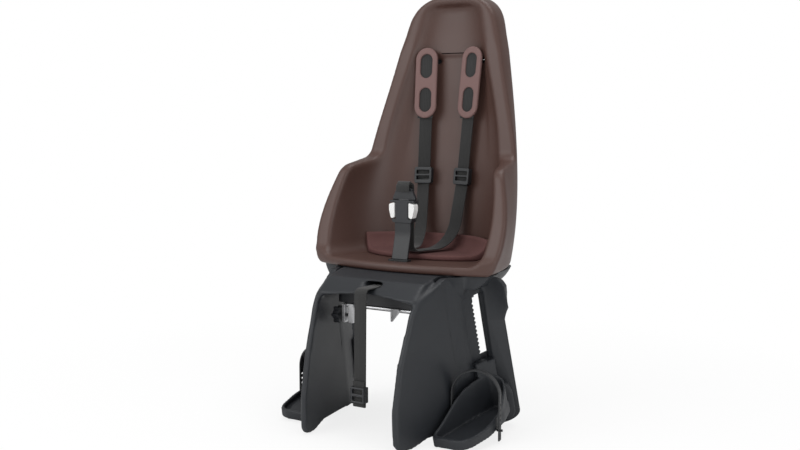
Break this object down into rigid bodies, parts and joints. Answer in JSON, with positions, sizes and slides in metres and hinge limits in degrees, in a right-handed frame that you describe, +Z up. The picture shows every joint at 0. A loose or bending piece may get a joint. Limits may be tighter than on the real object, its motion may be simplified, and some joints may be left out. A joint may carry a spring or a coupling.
{
  "type": "child bike seat",
  "caption": "Rear-rack child bike seat: moulded bucket shell with harness and pads on a base with leg guards, strapped sliding footrests and a screw clamp for the carrier.",
  "frame": {"origin": "middle of the seat's bounding box, on the floor plane it stands on", "axes": "+X to the child's left, -Y the way the child faces, +Z up"},
  "size_m": [0.4458, 0.4131, 0.797],
  "materials": {
    "shell_brown": "satin moulded brown",
    "base_grey": "satin moulded anthracite",
    "pad_foam": "soft matt foam",
    "pad_rubber": "soft matt rubber",
    "webbing": "woven black webbing",
    "hardware_black": "fine matt black",
    "hardware_grey": "matt grey",
    "button_white": "near-white moulded",
    "bright_steel": "bright zinc plate",
    "strap_rubber": "matt black rubber",
    "reflector_red": "red reflector"
  },
  "bodies": {
    "seat": {"seat_shell": "shell_brown", "base": "base_grey", "seat_pad": "pad_foam", "shoulder_pad_left": "pad_rubber", "shoulder_pad_right": "pad_rubber", "shoulder_strap_left": "webbing", "shoulder_strap_right": "webbing", "lap_strap_left": "webbing", "lap_strap_right": "webbing", "strap_adjuster_left": "hardware_grey", "strap_adjuster_right": "hardware_grey", "strap_anchor_left": "hardware_black", "strap_anchor_right": "hardware_black", "buckle_housing": "hardware_black", "buckle_tongue": "hardware_black", "crotch_strap": "hardware_grey", "crotch_anchor": "hardware_grey", "safety_strap": "webbing", "safety_strap_keeper": "hardware_black", "rack_adapter": "hardware_black", "carrier_screws": "bright_steel", "carrier_rods": "bright_steel", "carrier_hook": "bright_steel", "clamp_bracket": "bright_steel", "rear_reflector": "reflector_red"},
    "release_button_left": {"release_button_left": "button_white"},
    "release_button_right": {"release_button_right": "button_white"},
    "clamp_jaw": {"clamp_jaw": "bright_steel"},
    "clamp_knob": {"clamp_knob": "hardware_black"},
    "footrest_left": {"footrest_left": "base_grey", "foot_strap_left": "strap_rubber", "foot_strap_pegs_left": "hardware_black", "footrest_slider_left": "hardware_black"},
    "footrest_right": {"footrest_right": "base_grey", "foot_strap_right": "strap_rubber", "foot_strap_pegs_right": "hardware_black", "footrest_slider_right": "hardware_black"}
  },
  "joints": [
    {"name": "footrest_left_slide", "type": "slide", "parent": "seat", "child": "footrest_left", "axis": [-0.0585, -0.2145, 0.975], "range_m": [0, 0.08]},
    {"name": "footrest_right_slide", "type": "slide", "parent": "seat", "child": "footrest_right", "axis": [0.0585, -0.2145, 0.975], "range_m": [0, 0.08]},
    {"name": "release_button_left_press", "type": "slide", "parent": "seat", "child": "release_button_left", "axis": [-1, 0, 0], "range_m": [0, 0.002], "stiffness_N_per_m": 1500},
    {"name": "release_button_right_press", "type": "slide", "parent": "seat", "child": "release_button_right", "axis": [1, 0, 0], "range_m": [0, 0.002], "stiffness_N_per_m": 1500},
    {"name": "clamp_jaw_slide", "type": "slide", "parent": "seat", "child": "clamp_jaw", "axis": [-1, 0, 0], "range_m": [0, 0.0045]},
    {"name": "clamp_knob_turn", "type": "hinge", "parent": "clamp_jaw", "child": "clamp_knob", "pos_m": [-0.08, -0.1045, 0.205], "axis": [1, 0, 0], "range_deg": [0, 1080]}
  ],
  "couplings": [
    {"joint": "clamp_jaw_slide", "follows": "clamp_knob_turn", "m_per_rad": 0.00023873}
  ]
}
